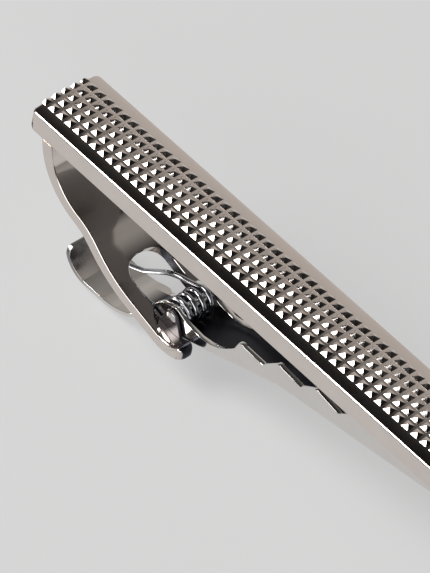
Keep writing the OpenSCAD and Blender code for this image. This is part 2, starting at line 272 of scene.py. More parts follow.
# %% Bar body
BAR_W, SIDE_H, DOME_H = 6.5, 1.84, 0.22
END_R, CORNER_R, EDGE_R = 0.55, 0.45, 0.18
BAR_ROOF, OVER, DOME_STEP = 3, 1, 0.6  # the roof clears the dome, and cutters reach over
HALF_W = BAR_W / 2
DOME_R = (HALF_W ** 2 + DOME_H ** 2) / (2 * DOME_H)
DOME_Z = SIDE_H + DOME_H - DOME_R
spread = math.degrees(math.asin(HALF_W / DOME_R))
side_view = (arc(END_R, END_R, END_R, 180, 270) + arc(BAR_LEN - END_R, END_R, END_R, 270, 360)
             + [(BAR_LEN, BAR_ROOF), (0, BAR_ROOF)])
end_view = [(-HALF_W, 0), (HALF_W, 0)] + arc(0, DOME_Z, DOME_R, 90 - spread, 90 + spread, DOME_STEP)
top_view = round_plan(0, BAR_LEN, HALF_W, CORNER_R)
bar = prism(side_view, "y", -HALF_W, HALF_W)
combine(bar,
        ("INTERSECT", prism(end_view, "x", -OVER, BAR_LEN + OVER)),
        ("INTERSECT", prism(top_view, "z", -OVER, BAR_ROOF + OVER)))
bar.name = bar.data.name = "bar_body"
rounded = soften(bar, EDGE_R, segments=5)
keep_within(bar, HALF_W)
print("bar edges rounded:", rounded, "triangles:", triangles(bar))

# %% [markdown]
# ## The pyramid pattern
# The pattern is rolled into the bar's front: small four-sided pyramids in
# straight rows, with narrow flat valleys between them. Displacement would blur
# them, and a plain array can't tilt its rows with the dome, so one pyramid is
# shaped once, with its ridges slightly worn, and copied into place. The first
# and the last column are cut through by the bar's ends, as rolling leaves them.

# %% One worn pyramid
PITCH, ROWS, KNURL_H, VALLEY, KNURL_START = 0.92, 5, 0.2, 0.21, 0.02
FOOT, WORN, TIP_SHARE = 0.06, 0.035, 0.05
NEAR_FLOOR, NEAR_TIP = 0.01, 0.9  # a height, and a share of the pyramid's height


def worn_pyramid():
    """A mesh of one pyramid on a short foot, with worn ridges."""
    bm = bmesh.new()
    low = (PITCH - VALLEY) / 2 * math.sqrt(2)
    made = bmesh.ops.create_cone(bm, cap_ends=True, segments=4, radius1=low, radius2=low * TIP_SHARE,
                                 depth=KNURL_H)
    turned = Matrix.Rotation(math.radians(45), 3, "Z")
    bmesh.ops.rotate(bm, verts=made["verts"], cent=(0, 0, 0), matrix=turned)
    bmesh.ops.translate(bm, verts=made["verts"], vec=(0, 0, KNURL_H / 2))
    base = [f for f in bm.faces if all(v.co.z < NEAR_FLOOR for v in f.verts)]
    grown = bmesh.ops.extrude_face_region(bm, geom=base)
    foot = [g for g in grown["geom"] if isinstance(g, bmesh.types.BMVert)]
    bmesh.ops.translate(bm, verts=foot, vec=(0, 0, -FOOT))
    bmesh.ops.delete(bm, geom=base, context="FACES_ONLY")
    ridges = [e for e in bm.edges if max(v.co.z for v in e.verts) > KNURL_H * NEAR_TIP]
    bmesh.ops.bevel(bm, geom=ridges, offset=WORN, offset_type="OFFSET", affect="EDGES",
                    segments=2, profile=0.5, material=-1, clamp_overlap=True)
    mesh = bpy.data.meshes.new("single_pyramid")
    bm.to_mesh(mesh)
    bm.free()
    return mesh


single = worn_pyramid()
print("one pyramid has", len(single.polygons), "faces")

# %% The whole field
columns = math.ceil(BAR_LEN / PITCH) + 1
bm = bmesh.new()
for row in range(ROWS):
    y = (row - (ROWS - 1) / 2) * PITCH
    tilt = -math.asin(y / DOME_R)
    row_place = (Matrix.Translation((0, y, DOME_Z + DOME_R * math.cos(tilt)))
                 @ Matrix.Rotation(tilt, 4, "X"))
    for column in range(columns):
        start = len(bm.verts)
        bm.from_mesh(single)
        bm.verts.ensure_lookup_table()
        place = row_place @ Matrix.Translation((KNURL_START + column * PITCH, 0, 0))
        bmesh.ops.transform(bm, matrix=place, verts=bm.verts[start:])
bpy.data.meshes.remove(single)
print("pyramids:", ROWS * columns)

# %% Ends of the field
END_SKIN = 0.004  # the field stops a hair short of the bar's end faces
for x, outwards in ((END_SKIN, -1), (BAR_LEN - END_SKIN, 1)):
    cut = bmesh.ops.bisect_plane(bm, geom=bm.verts[:] + bm.edges[:] + bm.faces[:],
                                 plane_co=(x, 0, 0), plane_no=(outwards, 0, 0), clear_outer=True)
    rim = [g for g in cut["geom_cut"] if isinstance(g, bmesh.types.BMEdge)]
    bmesh.ops.holes_fill(bm, edges=rim, sides=0)
bmesh.ops.translate(bm, vec=(-BAR_LEN / 2, 0, 0), verts=bm.verts)
field = finish_mesh(bm, "field")
print("field, triangles:", triangles(field))

# %% Bar with its pattern
combine(bar, ("UNION", field))
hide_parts("front_bar")
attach(bar, "bar")
shade(bar)
print("bar with its pattern, triangles:", triangles(bar))

# %% [markdown]
# ## The end bracket
# One strip of metal is brazed to the bar's back, bends down and away in an S,
# and forks into two arms with upturned tips. A plate bent by a modifier would
# thin out in the bends, so the strip is drawn from the side, as a middle line
# of bends with a thickness. Its root starts inside the bar and is cut flush.
# The window is punched square to the slope, so its cutter is turned to stand
# on the strip.

# %% The bent strip
STRIP_T, ROOT_X, ROOT_HEADING = 1.05, 1.95, -84
BENDS = [(5.5, 68), (5.0, -23.5), (0.9, 0), (10.5, 24), (3.3, 0), (3.2, 46)]
RAMP_SLOPE = ROOT_HEADING + BENDS[0][1] + BENDS[1][1]
run_up = 2 * STRIP_T
root_turn = math.radians(ROOT_HEADING)
strip_path = walk([(run_up, 0)] + BENDS, ROOT_X - run_up * math.cos(root_turn),
                  -run_up * math.sin(root_turn), ROOT_HEADING)
upper = beside(strip_path, STRIP_T / 2)
under = beside(strip_path, -STRIP_T / 2)
tip_x, tip_z, tip_heading = strip_path[-1]
tip_round = arc(tip_x, tip_z, STRIP_T / 2, tip_heading + 90, tip_heading - 90)[1:-1]
bracket = prism(upper + tip_round + under[::-1], "y", -HALF_W, HALF_W)
print("strip ends at", round(tip_x, 2), round(tip_z, 2), "heading", tip_heading)

# %% Window and arms
HINGE_X, HINGE_Z = 15.8, -7.4
JAW_W, EAR_GAP = 3.62, 0.06
LUG_IN = JAW_W / 2 + EAR_GAP
WINDOW_X, WINDOW_W, WINDOW_R, ARM_CORNER_R = 10.0, 3.9, 1.5, 0.66
PROBE = 0.2
CUT_BELOW, CUT_ABOVE, RUN_OFF, BACK_CUT_H = 0.6, 1.2, 2, 6
DEEP = -14  # lower than any part of the clip
slot_x = WINDOW_X + WINDOW_R
arm_end = tip_x + STRIP_T / 2
rim_slope = math.atan(height_at(upper, WINDOW_X + PROBE) / (2 * PROBE)
                      - height_at(upper, WINDOW_X - PROBE) / (2 * PROBE))
window_stand = (Matrix.Translation((WINDOW_X, 0, height_at(upper, WINDOW_X)))
                @ Matrix.Rotation(-rim_slope, 4, "Y"))
window_plan = round_plan(0, 2 * WINDOW_R, WINDOW_W / 2, WINDOW_R, ends="low")
above_back = box_outline(-RUN_OFF, WINDOW_X, 0, BACK_CUT_H)


def forked_plan():
    """The strip seen from above: whole at its root, then two arms with round tips."""
    round_x = arm_end - ARM_CORNER_R
    tip = (arc(round_x, LUG_IN + ARM_CORNER_R, ARM_CORNER_R, -90, 0)
           + arc(round_x, HALF_W - ARM_CORNER_R, ARM_CORNER_R, 0, 90))
    far_arm = [(slot_x, LUG_IN)] + tip + [(0, HALF_W)]
    return far_arm + [(x, -y) for x, y in reversed(far_arm)]


combine(bracket,
        ("DIFFERENCE", prism(above_back, "y", -HALF_W - OVER, HALF_W + OVER)),
        ("DIFFERENCE", prism(window_plan, "z", -STRIP_T - CUT_BELOW, CUT_ABOVE, window_stand)),
        ("INTERSECT", prism(forked_plan(), "z", DEEP, OVER)))
print("window slopes", round(math.degrees(rim_slope), 1), "degrees, triangles:", triangles(bracket))

# %% [markdown]
# ## Hinge lugs
# Two thin lugs stand on the arms' inner edges and carry the pin. Their flanks
# run straight from a wide foot to a round top, so that they seem to grow out
# of the arms. They are joined on before any edge is rounded, because a bevel
# can only follow edges that are already in the mesh.

# %% Lugs and pin hole
PIN_R, LUG_T, LUG_R, LUG_BASE = 0.4, 0.28, 0.64, 2.8
HOLE_STEP = 7.5
lug_depth = HINGE_Z - min(z for _, z, _ in strip_path)
lug_turn = (math.degrees(math.acos(LUG_R / math.hypot(LUG_BASE / 2, lug_depth))
                         - math.atan2(lug_depth, LUG_BASE / 2)))
lug_view = (arc(HINGE_X, HINGE_Z, LUG_R, lug_turn, 180 - lug_turn)
            + [(HINGE_X - LUG_BASE / 2, HINGE_Z - lug_depth),
               (HINGE_X + LUG_BASE / 2, HINGE_Z - lug_depth)])
for side in (-1, 1):
    inner, outer = sorted((side * LUG_IN, side * (LUG_IN + LUG_T)))
    combine(bracket, ("UNION", prism(lug_view, "y", inner, outer)))


def round_hole(radius):
    """The outline of a hole about the hinge, seen from the side."""
    return arc(HINGE_X, HINGE_Z, radius, 0, 360 - HOLE_STEP, HOLE_STEP)


combine(bracket, ("DIFFERENCE", prism(round_hole(PIN_R), "y", -HALF_W - OVER, HALF_W + OVER)))
print("lugs stand", round(lug_depth, 2), "mm above the strip's lowest point")

# %% Which bracket edges are round
STRIP_EDGE_R, RIM_EDGE_R = 0.16, 0.05
SEAM_BAND, SIDE_BAND, TIP_BAND, RIM_CLEAR, FAR_SIDE = 0.05, 0.05, 0.01, 0.02, 0.5


def is_below_seam(edge):
    """Leaves out the edges at the brazed seam."""
    return min(v.co.z for v in edge.verts) < -SEAM_BAND * MM


def is_outer_edge(edge):
    """A long outer edge of the strip or of a round tip."""
    tip_start = to_part(arm_end - ARM_CORNER_R - TIP_BAND)
    return (is_below_seam(edge)
            and (all(abs(v.co.y) > (HALF_W - SIDE_BAND) * MM for v in edge.verts)
                 or all(v.co.x > tip_start for v in edge.verts)))


def is_rim_edge(edge):
    """A convex edge along the slot, or round the window's near half."""
    side_clear = HALF_W - STRIP_EDGE_R - RIM_CLEAR
    return (edge.is_convex and is_below_seam(edge)
            and not all(v.co.y > FAR_SIDE * MM and v.co.x < to_part(slot_x) for v in edge.verts)
            and abs(sum(v.co.y for v in edge.verts)) < 2 * side_clear * MM
            and all(v.co.x < to_part(arm_end - ARM_CORNER_R) for v in edge.verts))


print("outer edges get", STRIP_EDGE_R, "mm, the window's rim and the slot", RIM_EDGE_R, "mm")

# %% Bracket finished
bracket.name = bracket.data.name = "bracket_strip"
rounded = soften(bracket, STRIP_EDGE_R, segments=5, where=is_outer_edge)
rounded += soften(bracket, RIM_EDGE_R, segments=1, where=is_rim_edge)
keep_within(bracket, HALF_W)
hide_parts("end_bracket")
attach(bracket, "bar")
shade(bracket)
print("bracket edges rounded:", rounded, "triangles:", triangles(bracket))

# %% [markdown]
# ## The sprung jaw
# The jaw is folded from one sheet: a U-shaped channel with toothed walls, two
# ears for the pin, and a thumb tab that curls up. A flat sheet with a Solidify
# modifier could be folded up, but short tight folds come out cleaner from the
# side. The outside is a prism of the wall's outline with its two long bottom
# edges rounded as the fold leaves them, and a smaller prism is taken out of it
# for the inside.

# %% Jaw lines
SHEET_T, TAB_W, TAB_CORNER_R, CURL_R, EAR_R = 0.38, 4.4, 0.9, 0.8, 0.85
CHANNEL_SLOPE = 21.5
TAB_BENDS = [(2.55, 80), (1.7, 0), (6, CHANNEL_SLOPE)]
CHANNEL_BENDS = [(15.9, 0), (12, -11), (17.6, 0), (1, 55), (0.9, 0)]
CURL_TIP = (4.3, -9.8, -80)
tab_path = walk(TAB_BENDS, *CURL_TIP)
channel_path = walk(CHANNEL_BENDS, *tab_path[-1])
neck_x, neck_z, _ = tab_path[-1]
nose_x, nose_z, _ = channel_path[-1]
floor_line = [(x, z) for x, z, _ in channel_path]
print("neck at", round(neck_x, 2), round(neck_z, 2), "nose at", round(nose_x, 2), round(nose_z, 2))

# %% Teeth, ears and shoulder
# Shares of the tooth's height, of the ear's radius and of the way to the first tooth
TOOTH_PITCH, FIRST_TOOTH, ROOT_H, PEAK_H = 3.8, 6.85, 1.54, 2.46
PEAK_SHARES = (1, 0.92, 0.95, 0.98, 0.97, 0.89)
ROOT_SHARES = (0.96, 1, 0.98, 1, 1)
ROOT_PLACE, NOSE_PLACE = 0.58, 0.56
EAR_LEFT = ((-4.5, -3.75), (-4.0, -3.5), (-3.3, -2.7), (-2.75, -1.5), (-2.32, -0.34), (-1.67, 0.35))
EAR_ARC = (125, 52)
SHOULDER = ((0.2, 0.1), (0.41, 0.06), (0.57, 0.13), (0.69, 0.26), (0.8, 0.45), (0.9, 0.69))
TOOTH_TOP = (-1.3, -0.9, -0.45, 0, 0.45, 0.9)


def rounded_tooth(x, z, half=0.3, drop=0.12):
    """A tooth's top: a short arc of points over the peak."""
    return [(x + half * s, z - drop * s * s) for s in TOOTH_TOP]


print("teeth:", len(PEAK_SHARES), "at every", TOOTH_PITCH, "mm")

# %% Upper edge of the walls
first_x = HINGE_X + FIRST_TOOTH
first_z = height_at(floor_line, first_x) + PEAK_H * PEAK_SHARES[0]
wall_top = [(neck_x, neck_z + SHEET_T)]
wall_top += [(HINGE_X + EAR_R * x, HINGE_Z + EAR_R * z) for x, z in EAR_LEFT]
wall_top += arc(HINGE_X, HINGE_Z, EAR_R, *EAR_ARC)
wall_top += [(HINGE_X + FIRST_TOOTH * x, HINGE_Z + (first_z - HINGE_Z) * z) for x, z in SHOULDER]
for i, share in enumerate(PEAK_SHARES):
    x = first_x + i * TOOTH_PITCH
    wall_top += rounded_tooth(x, height_at(floor_line, x) + PEAK_H * share)
    if i < len(ROOT_SHARES):
        x += ROOT_PLACE * TOOTH_PITCH
        wall_top.append((x, height_at(floor_line, x) + ROOT_H * ROOT_SHARES[i]))
wall_top += [(nose_x - NOSE_PLACE * TOOTH_PITCH, nose_z - (PEAK_H - ROOT_H)), (nose_x - SHEET_T, nose_z)]
print("wall edge has", len(wall_top), "points")

# %% The fold
FOLD_R, DIGITS, SAME_Y = 0.35, 6, 1e-7
jaw = prism(floor_line + wall_top[::-1], "y", -JAW_W / 2, JAW_W / 2)


def floor_key(x, z):
    """A place in the side view, rounded so that two of them can be compared."""
    return round(x, DIGITS), round(z, DIGITS)


on_floor = {floor_key(to_part(x), z * MM) for x, z in floor_line}


def is_fold(edge):
    """Tells whether an edge runs along the floor at the outside of a wall."""
    a, b = (v.co for v in edge.verts)
    return abs(a.y - b.y) < SAME_Y and all(floor_key(c.x, c.z) in on_floor for c in (a, b))


print("fold edges rounded:", soften(jaw, FOLD_R, segments=6, angle=60, where=is_fold))

# %% Hollow channel
WALL_IN = JAW_W / 2 - SHEET_T
OPEN_END, OPEN_NOSE, OPEN_TOP = 1.2, 2, 3
(inside_x, inside_z), *inside_floor = beside(channel_path, SHEET_T)
hollow_view = ([(inside_x - OPEN_END, inside_z)] + inside_floor
               + [(nose_x + OPEN_NOSE, nose_z + OPEN_TOP), (neck_x - OPEN_END, OPEN_TOP)])
combine(jaw, ("DIFFERENCE", prism(hollow_view, "y", -WALL_IN, WALL_IN)))
print("channel, triangles:", triangles(jaw))

# %% [markdown]
# ## The thumb tab
# The tab is the same sheet, wider than the channel and pressed with the thumb.
# It could be drawn as a part of the jaw's outline, but then it would be no
# wider than the channel, so it is a prism of its own. Its sides draw in to the
# channel's width and run on a little under the channel's start, so that no gap
# shows at the neck. Its curled end has round corners when seen along the clip.

# %% Tab outline and curl
NECK_TAPER = ((0.3, 1.0), (0.8, 0.85), (1.15, 0.4), (1.45, -0.9), (2.0, -0.9))
TAB_END_X, TAB_ROOF = 3.6, -5
CURL_CUT_X, CURL_CUT_OVER = 3, 3
tab_run = tab_path + walk([(NECK_TAPER[-1][0], 0)], *tab_path[-1])[1:]
tab_line = [(x, z) for x, z, _ in tab_run]
tab_top = beside(tab_run, SHEET_T)
tab = prism(tab_line + tab_top[::-1], "y", -TAB_W / 2, TAB_W / 2)
tab_half = [(neck_x + x, JAW_W / 2 + share * (TAB_W - JAW_W) / 2) for x, share in NECK_TAPER]
tab_corner = arc(TAB_END_X + TAB_CORNER_R, TAB_W / 2 - TAB_CORNER_R, TAB_CORNER_R, 180, 90)
tab_far = tab_corner + tab_half
tab_plan = tab_far + [(x, -y) for x, y in reversed(tab_far)]
curl_z = max(z for _, z in beside(tab_path, SHEET_T)) - CURL_R
curl_view = ([(-TAB_W / 2, DEEP), (TAB_W / 2, DEEP)]
             + arc(TAB_W / 2 - CURL_R, curl_z, CURL_R, 0, 90)
             + arc(CURL_R - TAB_W / 2, curl_z, CURL_R, 90, 180))
combine(tab,
        ("INTERSECT", prism(tab_plan, "z", DEEP, TAB_ROOF)),
        ("INTERSECT", prism(curl_view, "x", CURL_CUT_X, neck_x + CURL_CUT_OVER)))
print("tab, triangles:", triangles(tab))

# %% Jaw finished
SHEET_EDGE_R, SHEET_MERGE, PIN_PLAY = 0.04, 1.5, 0.05
NECK_REACH, NECK_SIDE = 0.5, 1.5
combine(jaw, ("UNION", tab))
combine(jaw, ("DIFFERENCE", prism(round_hole(PIN_R + PIN_PLAY), "y", -JAW_W, JAW_W)))
jaw.name = jaw.data.name = "folded_jaw"
neck_meets_fold = neck_x + NECK_TAPER[-2][0]


def is_plain_edge(edge):
    """Leaves out hollow edges, and those where the neck's sides meet the fold."""
    return edge.is_convex and not all(
        abs(v.co.x / MM + BAR_LEN / 2 - neck_meets_fold) < NECK_REACH
        and abs(v.co.y) > NECK_SIDE * MM for v in edge.verts)


rounded = soften(jaw, SHEET_EDGE_R, segments=3, where=is_plain_edge, merge=SHEET_MERGE)
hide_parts("clip_jaw")
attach(jaw, "jaw")
shade(jaw)
print("jaw edges rounded:", rounded, "triangles:", triangles(jaw))

# %% [markdown]
# ## The torsion spring
# The spring is one wire, wound round the pin. One leg presses on the strip and
# stays with the bar, the other presses on the thumb tab and turns with the
# jaw. A Screw modifier would wind the coil but not the legs, so the wire's
# line is worked out from the coil's radius and pitch and from the bends of its
# legs, and a round section is swept along it. The coil is wound closer than in
# the plain solid. When the jaw opens, the wire twists along its coil.

# %% Spring line
WIRE_D, COIL_D, COIL_STEPS = 0.42, 2.6, 20
TURNS, FLAT_TURNS = 3.5, 0.5  # the last half turn lies flat
COIL_Y, COIL_SPAN = 1.0, 2.2
TAB_LEG, STRIP_LEG, STRIP_DIP, PRESS = 9.6, 6.8, 0.68, 0.24
TAB_LEG_SHARES = ((1, 1), (0.78, 0.835), (0.71, 0.77), (0.64, 0.7), (0.56, 0.575), (0.48, 0.445),
                  (0.4, 0.325), (0.32, 0.236), (0.235, 0.165), (0.16, 0.118), (0.085, 0.06))
STRIP_LEG_SHARES = ((0.09, 0.1), (0.2, 0.42), (0.35, 0.8), (0.53, 1), (0.7, 0.75), (0.85, -0.12))
coil_r = (COIL_D - WIRE_D) / 2
near_y = COIL_Y - COIL_SPAN
strip_x = HINGE_X - STRIP_LEG
tab_z = height_at([(x, z) for x, z, _ in tab_path], HINGE_X - TAB_LEG)
leg_drop = HINGE_Z + coil_r - (tab_z + SHEET_T + PRESS)
wire = [(HINGE_X - TAB_LEG * s, COIL_Y, HINGE_Z + coil_r - leg_drop * t) for s, t in TAB_LEG_SHARES]
for k in range(int(TURNS * COIL_STEPS) + 1):
    a = math.radians(90 - 360 * k / COIL_STEPS)
    wound = min(1, k / ((TURNS - FLAT_TURNS) * COIL_STEPS))
    wire.append((HINGE_X + coil_r * math.cos(a), COIL_Y - COIL_SPAN * wound,
                 HINGE_Z + coil_r * math.sin(a)))
wire += [(HINGE_X - STRIP_LEG * s, near_y, HINGE_Z - coil_r - STRIP_DIP * t)
         for s, t in STRIP_LEG_SHARES]
wire.append((strip_x, near_y, height_at(under, strip_x) - PRESS / math.cos(math.radians(RAMP_SLOPE))))
print("spring line has", len(wire), "points")

# %% Spring wire
WIRE_SHARP = 50
curve = bpy.data.curves.new("spring_line", "CURVE")
curve.dimensions = "3D"
spline = curve.splines.new("BEZIER")
spline.bezier_points.add(len(wire) - 1)
for point, (x, y, z) in zip(spline.bezier_points, wire):
    point.co = (to_part(x), y * MM, z * MM)
    point.handle_left_type = point.handle_right_type = "AUTO"
spline.resolution_u = 3
curve.bevel_depth = WIRE_D / 2 * MM
curve.bevel_resolution = 6
curve.use_fill_caps = True
line_object = put_in_scene("spring_line", curve)
bpy.context.view_layer.update()
wire_mesh = bpy.data.meshes.new_from_object(
    line_object.evaluated_get(bpy.context.evaluated_depsgraph_get()))
bpy.data.objects.remove(line_object)
wire_mesh.name = "wound_spring"
spring = put_in_scene("wound_spring", wire_mesh)
smooth(wire_mesh, WIRE_SHARP)
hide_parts("torsion_spring")
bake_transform(spring)
print("spring turns:", TURNS, "triangles:", triangles(spring))

# %% [markdown]
# ## The hinge pin
# A short steel pin runs through the lugs and the ears. Its ends are spread a
# little by a punch, so each is a low dome over the lug's face. A cylinder and
# two half spheres would need joining, so half of the pin's outline is spun
# about its axis and mirrored, which also makes both heads alike.

# %% Half of the pin's outline
HEAD_R, HEAD_H, HEAD_LIP = 0.5, 0.1, 0.01
HEAD_ANGLES = (20, 40, 60, 75, 90)
lug_out = LUG_IN + LUG_T
half_profile = [(0, 0), (PIN_R, 0), (PIN_R, lug_out), (HEAD_R, lug_out + HEAD_LIP)]
for angle in HEAD_ANGLES:
    a = math.radians(angle)
    half_profile.append((HEAD_R * math.cos(a), lug_out + HEAD_LIP + (HEAD_H - HEAD_LIP) * math.sin(a)))
print("pin's half outline has", len(half_profile), "points")

# %% Riveted pin
PIN_WELD, MIRROR_WELD, AT_ORIGIN, HEAD_SHARP = 0.0005, 0.001, 1e-6, 35
bm = bmesh.new()
line = [bm.verts.new((r, y, 0)) for r, y in half_profile]
edges = [bm.edges.new(pair) for pair in zip(line, line[1:])]
bmesh.ops.spin(bm, geom=line + edges, cent=(0, 0, 0), axis=(0, 1, 0), angle=math.radians(360),
               steps=40, use_merge=True)
bmesh.ops.remove_doubles(bm, verts=bm.verts, dist=PIN_WELD)
middle = [v for v in bm.verts if v.co.length < AT_ORIGIN]
bmesh.ops.delete(bm, geom=middle, context="VERTS")
bmesh.ops.mirror(bm, geom=bm.verts[:] + bm.edges[:] + bm.faces[:], axis="Y", merge_dist=MIRROR_WELD)
bmesh.ops.remove_doubles(bm, verts=bm.verts, dist=PIN_WELD)
bmesh.ops.translate(bm, verts=bm.verts, vec=(HINGE_X - BAR_LEN / 2, 0, HINGE_Z))
pin = finish_mesh(bm, "riveted_pin")
smooth(pin.data, HEAD_SHARP)
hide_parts("hinge_pin")
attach(pin, "bar")
print("pin, triangles:", triangles(pin))

# %% [markdown]
# ## Shader maths
# Shader maths reads best as plain expressions, so a small class wraps a
# socket and turns +, - and * into nodes. Wiring each node by hand would give
# the same trees, in many more lines. Materials and the room's light are made
# with the same class.

# %% Shader expressions
class Signal:
    """A socket that can be used in expressions."""

    def __init__(self, nodes, socket):
        self.nodes, self.socket = nodes, socket

    def _math(self, operation, *values):
        return self.nodes.node("ShaderNodeMath", {"operation": operation}, dict(enumerate(values)))[0]

    def __add__(self, other):
        return self._math("ADD", self, other)

    def __sub__(self, other):
        return self._math("SUBTRACT", self, other)

    def __rsub__(self, other):
        return self._math("SUBTRACT", other, self)

    def __mul__(self, other):
        return self._math("MULTIPLY", self, other)

    __radd__, __rmul__ = __add__, __mul__

    def most(self, other):
        """The larger of two values at each place."""
        return self._math("MAXIMUM", self, other)

    def size(self):
        """The value without its sign."""
        return self._math("ABSOLUTE", self)


# %% Node trees
class Nodes:
    """The node tree of a material or of the world, under construction."""

    def __init__(self, owner):
        owner.use_nodes = True
        self.tree = owner.node_tree

    def node(self, kind, settings, inputs):
        """Makes a node and gives its outputs, ready for expressions."""
        made = self.tree.nodes.new(kind)
        stops = settings.pop("stops", None)
        for key, value in settings.items():
            setattr(made, key, value)
        if stops:
            ramp = made.color_ramp
            while len(ramp.elements) < len(stops):
                ramp.elements.new(0.5)
            for element, (position, colour) in zip(ramp.elements, stops):
                element.position, element.color = position, colour
        for key, value in inputs.items():
            self.feed(made.inputs[key], value)
        outputs = {o.name: Signal(self, o) for o in made.outputs if o.enabled}
        return {**outputs, **dict(enumerate(outputs.values()))}  # by name or by number

    def feed(self, socket, value):
        """Links an expression to a socket, or sets a plain value on it."""
        if isinstance(value, Signal):
            self.tree.links.new(value.socket, socket)
        else:
            socket.default_value = value


# %% Finishes under construction
class Finish(Nodes):
    """One material, with the patterns that metal finishes are made of."""

    def __init__(self, name):
        self.material = bpy.data.materials.new(name)
        super().__init__(self.material)
        self.shader = self.tree.nodes["Principled BSDF"]
        self.place = self.node("ShaderNodeTexCoord", {}, {})["Object"]

    def spot(self):
        """The place on the part in metres: X along the bar, Y across it, Z out of its front."""
        return self.node("ShaderNodeSeparateXYZ", {}, {0: self.place})

    def noise(self, scale, stretch=(1, 1, 1), detail=4, roughness=0.55):
        """Noise at a scale per metre, stretched along an axis."""
        spot = self.node("ShaderNodeMapping", {}, {"Vector": self.place, "Scale": stretch})[0]
        return self.node("ShaderNodeTexNoise", {}, {"Vector": spot, "Scale": scale, "Detail": detail,
                                                    "Roughness": roughness})["Fac"]

    def span(self, value, low, high, to_low, to_high):
        """Maps a range to another and keeps it inside."""
        return self.node("ShaderNodeMapRange", {"clamp": True},
                         {"Value": value, "From Min": low, "From Max": high,
                          "To Min": to_low, "To Max": to_high})[0]

    def mix(self, share, a, b):
        """A colour between two colours, which are the node's inputs 6 and 7."""
        return self.node("ShaderNodeMix", {"data_type": "RGBA"},
                         {"Factor": share, 6: a, 7: b})["Result"]


print("shader helpers are ready")

# %% [markdown]
# ## Metal finishes
# Polished metal is mostly its reflections, and a single roughness looks like
# plastic. So each finish varies gently: fine polishing marks along the part, a
# slightly uneven gloss, and a paler tone where handling has rubbed the
# plating. Painted textures could carry this, but noise on the part's own
# coordinates needs no unwrapping and has no seams. Painted shade makes the metal
# darker and duller in a few places: inside the jaw's channel and curl, on the
# walls of the window and the slot, on the lugs and the tips, and on the bar's
# back. Those places are given by the part's own sizes, so that they stay put in
# every view.

# %% Plated metal
CLOUD_SCALE, RUB_SCALE, STREAK_SCALE = 260, 900, 5200  # per metre
TONE_CLOUDS, GLOSS_CLOUDS, RUBBED = (0.35, 0.7), (0.3, 0.75), (0.52, 0.72)
PALE_CLOUD, PALE_RUB = 0.55, 0.25
GLOSS_LOW, GLOSS_HIGH = 0.8, 1.3
RUB_DULLS, SHADE_DULLS = 0.02, 0.3
STREAK_RELIEF, CLOUD_RELIEF = 0.6, 0.4
MARK_DEPTH = 0.02 * MM


def metal(name, tone, pale, gloss, marks, lengthwise=(1, 1, 1), relief=0.02,
          painted_shade=None, shade_tone=(0.035, 0.036, 0.045)):
    """Plated metal: uneven gloss, polishing marks, a paler rubbed tone, and painted shade where a mask
    is given.
    """
    made = Finish(name)
    cloud = made.noise(CLOUD_SCALE)
    rub = made.span(made.noise(RUB_SCALE, detail=5, roughness=0.65), *RUBBED, 0, 1)
    streak = made.noise(STREAK_SCALE, lengthwise, roughness=0.7)
    share = made.span(cloud, *TONE_CLOUDS, 0, PALE_CLOUD) + rub * PALE_RUB
    colour = made.mix(share, (*tone, 1), (*pale, 1))
    made.shader.inputs["Metallic"].default_value = 1.0
    rough = (made.span(cloud, *GLOSS_CLOUDS, gloss * GLOSS_LOW, gloss * GLOSS_HIGH)
             + (streak - 0.5) * marks + rub * RUB_DULLS)
    # Painted shade: the mask darkens the colour towards its tone and adds roughness
    if painted_shade:
        dull = painted_shade(made)
        colour = made.mix(dull, colour, (*shade_tone, 1))
        rough = rough + dull * SHADE_DULLS
    made.feed(made.shader.inputs["Base Color"], colour)
    made.feed(made.shader.inputs["Roughness"], rough)
    bump = made.node("ShaderNodeBump", {}, {"Strength": relief, "Distance": MARK_DEPTH,
                                            "Height": streak * STREAK_RELIEF + cloud * CLOUD_RELIEF})[0]
    made.feed(made.shader.inputs["Normal"], bump)
    return made.material


print("polishing marks are", MARK_DEPTH / MM, "mm deep at most")

# %% Painted shade
FADE = 0.02  # width of a sharp change
CHANNEL_START, CURL_RUN = (10.6, 12.1), (5.4, 8.0)
SLOT_START, FAR_CORNER, FAR_Y = (11.55, 11.7), (10.0, 10.4), (0.9, 1.2)
LUG_START, TIP_START, TIP_Y = (13.8, 14.2), (arm_end - 1.0, arm_end - 0.75), (3.0, 3.1)
BACK_Z = (0.01, 0.05)
# strengths of the painted shade in the curl and on the lugs
CURL_SHADE, LUG_SHADE = 0.6, 0.9


def within(made, value, edge, full=1):
    """Full up to an edge in millimetres, and nothing past a narrow fade."""
    return made.span(value, edge * MM, (edge + FADE) * MM, full, 0)


def onward(made, spot, band):
    """Nothing before a band along the bar, and full after it."""
    return made.span(spot["X"], to_part(band[0]), to_part(band[1]), 0, 1)


def painted_shade_in_fold(made):
    """Painted shade between the walls of the channel, and in the curl of the thumb tab."""
    spot = made.spot()
    between = within(made, spot["Y"].size(), WALL_IN - FADE / 2)
    channel = between * onward(made, spot, CHANNEL_START)
    return channel + made.span(spot["X"], to_part(CURL_RUN[0]), to_part(CURL_RUN[1]), CURL_SHADE, 0)


def painted_shade_window_lugs_tips(made):
    """Painted shade on the lugs, the tips' tops and the walls of the window and the slot."""
    spot = made.spot()
    off_middle = spot["Y"].size()
    in_window = within(made, off_middle, WINDOW_W / 2 + FADE / 4)
    far_side = made.span(spot["Y"], FAR_Y[0] * MM, FAR_Y[1] * MM, 0, 1)
    far_corner = far_side * onward(made, spot, FAR_CORNER)
    walls = in_window * onward(made, spot, SLOT_START).most(far_corner)
    lugs = within(made, off_middle, lug_out + FADE / 2, LUG_SHADE) * onward(made, spot, LUG_START)
    tops = made.span(off_middle, TIP_Y[0] * MM, TIP_Y[1] * MM, 1, 0)
    return walls.most(lugs).most(tops * onward(made, spot, TIP_START))


